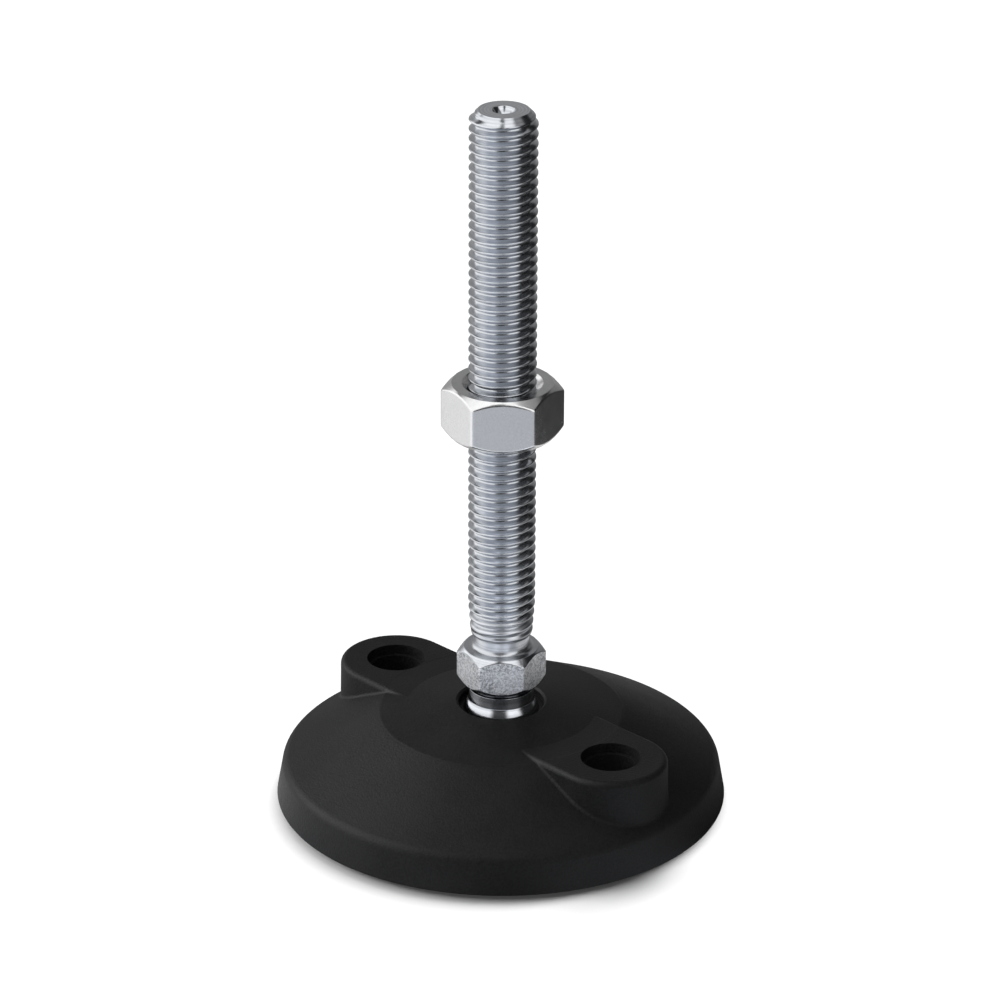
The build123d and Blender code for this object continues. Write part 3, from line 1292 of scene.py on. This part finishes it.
@dataclass(frozen=True)
class Lamp:
    """A broad lamp that lights one thing alone.

    Attributes:
        name: Its name.
        azimuth: Where it hangs, from the camera and growing to the right.
        elevation: How high it hangs.
        width: How wide it is, as an angle.
        strength: Its brightness.
    """

    name: str
    azimuth: float
    elevation: float
    width: float
    strength: float

    def hang(self, front_deg: float, lit: bpy.types.Object, caster: bpy.types.Object) -> None:
        """Makes the lamp.

        Args:
            front_deg: Azimuth of the camera.
            lit: The one thing that it lights.
            caster: The one thing that throws a shadow in its light.
        """
        data = bpy.data.lights.new(self.name, "SUN")
        data.energy = self.strength
        data.angle = math.radians(self.width)
        lamp = bpy.data.objects.new(self.name, data)
        turn = math.radians(front_deg + self.azimuth - 180.0)
        lamp.rotation_euler = (math.radians(self.elevation - 90.0), 0.0, turn)
        bpy.context.scene.collection.objects.link(lamp)
        for purpose, target in (("receiver", lit), ("blocker", caster)):
            group = bpy.data.collections.new(f"{self.name}_{purpose}")
            group.objects.link(target)
            setattr(lamp.light_linking, f"{purpose}_collection", group)


@dataclass
class Studio:
    """Floor, surrounding light and camera.

    Attributes:
        view: The camera, from which all azimuths are counted.
        room: Light panels round the foot and over it, with a dark gap at the camera and dark on the right.
        table: The floor as the foot mirrors it, bright near the foot and on the left, dark on the right.
        floor_size: Half the floor's width, in metres.
        floor_colour: The floor.
        floor_lamps: Light the floor from behind, one low on the right and one high on the left.
        base_lamp: Lights the base from the left.
    """

    view: View = View()
    room: Surround = Surround("room", 0.02, (
        # Left wall, with a lower stretch at its far end.
        Panel(-117.0, -32.0, 1.3, high=40.0),
        Panel(-117.0, -23.0, 1.3, low=40.0, high=74.0),
        Panel(-140.0, -117.0, 1.3, high=31.0),
        # Right wall, the gap at the camera, and a dim stretch past the right wall.
        Panel(20.0, 64.0, 1.3, high=40.0),
        Panel(5.0, 64.0, 1.3, low=40.0, high=74.0),
        Panel(-30.0, 20.0, 0.05, high=74.0),
        Panel(72.0, 150.0, 0.3, low=47.0, high=74.0),
        # Ceiling, dimmer towards the back.
        Panel(-125.0, 85.0, 1.4, low=74.0),
        Panel(85.0, 200.0, 0.5, low=68.0),
        Panel(-200.0, -125.0, 0.5, low=68.0),
        # Back wall.
        Panel(-200.0, -137.0, 0.34, low=-10.0, high=68.0),
        Panel(125.0, 200.0, 0.18, low=-5.0, high=28.0),
        Panel(158.0, 200.0, 0.16, low=-10.0, high=50.0),
    ), side_softness=18.0, end_softness=8.0)
    table: Surround = Surround("table", 0.04, (
        # Left, from the back to the front.
        Panel(-140.0, -105.0, 0.8, low=58.0),
        Panel(-105.0, -70.0, 1.2),
        Panel(-70.0, -24.0, 0.82, tint=COOL),
        # Front, brighter near the foot on both sides of the gap at the camera.
        Panel(-24.0, 10.0, 0.5, low=85.0, tint=COOL),
        Panel(10.0, 56.0, 0.47, tint=COOL),
        Panel(-24.0, -5.0, 1.6, low=36.0, high=85.0, tint=COOL),
        Panel(6.0, 51.0, 1.1, low=36.0, high=85.0, tint=COOL),
        # Right, bright near the foot alone.
        Panel(51.0, 165.0, 0.75, low=55.0, high=115.0),
        Panel(56.0, 105.0, 0.025),
        # Back.
        Panel(150.0, 200.0, 0.2),
        Panel(-200.0, -140.0, 0.34),
    ), side_softness=30.0, end_softness=40.0, on_floor=True)
    floor_size: float = 4.0
    floor_colour: Colour = (0.09, 0.09, 0.09)
    floor_lamps: tuple[Lamp, ...] = (
        Lamp("low_floor_lamp", azimuth=164.0, elevation=47.0, width=26.0, strength=27.0),
        Lamp("high_floor_lamp", azimuth=192.0, elevation=58.0, width=26.0, strength=20.0))
    base_lamp: Lamp = Lamp("base_lamp", azimuth=-100.0, elevation=32.0, width=50.0, strength=3.6)

    def light(self) -> None:
        """Fills the world: white behind the foot for the camera, the room for everything else."""
        world = bpy.data.worlds.new("studio")
        bpy.context.scene.world = world
        world.use_nodes = True
        nodes = Nodes(world.node_tree)
        way = nodes.add("TexCoord").outputs["Generated"]
        room = nodes.group(self.room.group(self.view.azimuth_deg), {"Vector": way})
        lit, white = (nodes.add("Background", {"Color": colour}).outputs[0]
                      for colour in (room, (1.0, 1.0, 1.0, 1.0)))
        seen = nodes.add("LightPath").outputs["Is Camera Ray"]
        both = nodes.add("MixShader", {0: seen, 1: lit, 2: white})
        nodes.add("OutputWorld", {"Surface": both.outputs[0]})

    def floor(self) -> bpy.types.Object:
        """Lays the floor: pale with the foot's shadow for the camera, the table's brightness for the foot.

        Seen from below it is clear, so that the foot's underside shows.

        Returns:
            The floor.
        """
        half = self.floor_size
        corners = [(-half, -half, 0.0), (half, -half, 0.0), (half, half, 0.0), (-half, half, 0.0)]
        mesh = bpy.data.meshes.new("floor")
        mesh.from_pydata(corners, [], [(0, 1, 2, 3)])
        floor = bpy.data.objects.new("floor", mesh)
        bpy.context.scene.collection.objects.link(floor)
        material, nodes = new_material("floor")
        place = nodes.add("TexCoord").outputs["Object"]
        table = nodes.group(self.table.group(self.view.azimuth_deg), {"Vector": place})
        pale = nodes.add("BsdfDiffuse", {"Color": (*self.floor_colour, 1.0)})
        mirrored = nodes.add("Emission", {"Color": table})
        seen = nodes.add("LightPath").outputs["Is Camera Ray"]
        above = nodes.add("MixShader", {0: seen, 1: mirrored.outputs[0], 2: pale.outputs[0]})
        clear = nodes.add("BsdfTransparent")
        below = nodes.add("NewGeometry").outputs["Backfacing"]
        both = nodes.add("MixShader", {0: below, 1: above.outputs[0], 2: clear.outputs[0]})
        nodes.add("OutputMaterial", {"Surface": both.outputs[0]})
        mesh.materials.append(material)
        return floor

    def build(self, base: bpy.types.Object) -> None:
        """Makes the room, the floor, the lamps and the camera.

        Args:
            base: The moulded base, which has a lamp of its own and throws the shadow on the floor.
        """
        bpy.context.scene.view_settings.view_transform = "Standard"
        self.light()
        front, floor = self.view.azimuth_deg, self.floor()
        for lamp in self.floor_lamps:
            lamp.hang(front, floor, base)
        self.base_lamp.hang(front, base, base)
        self.view.place()
        LOG.info("studio: %d panels", len(self.room.panels))


def millimetres(node: str) -> tuple[Array, Array]:
    """Lowest and highest corner of a solid, in millimetres."""
    low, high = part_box(node)
    return np.asarray(low) / MM, np.asarray(high) / MM


def main() -> None:
    """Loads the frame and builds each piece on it."""
    logging.basicConfig(level=logging.INFO)
    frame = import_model()
    effects = Effects()
    tilt = next(joint for joint in frame["joints"] if joint["name"] == "stem_tilt")
    ball_height = tilt["pos_m"][2] / MM
    stem_low, stem_high = millimetres("stem")
    nut_low, nut_high = millimetres("lock_nut")
    columns = Columns(corner_deg=FLAT_DEG + SIDE_DEG / 2)

    base = frame["nodes"]["base"]
    MouldedBase().dress(base, effects)
    stem = ThreadedStem(ball_height, ball_height - stem_low[2], stem_high[2], columns)
    stem.build(effects)
    LockNut(nut_low[2], nut_high[2], columns).build(effects)
    Studio().build(base)


if __name__ == "__main__":
    main()
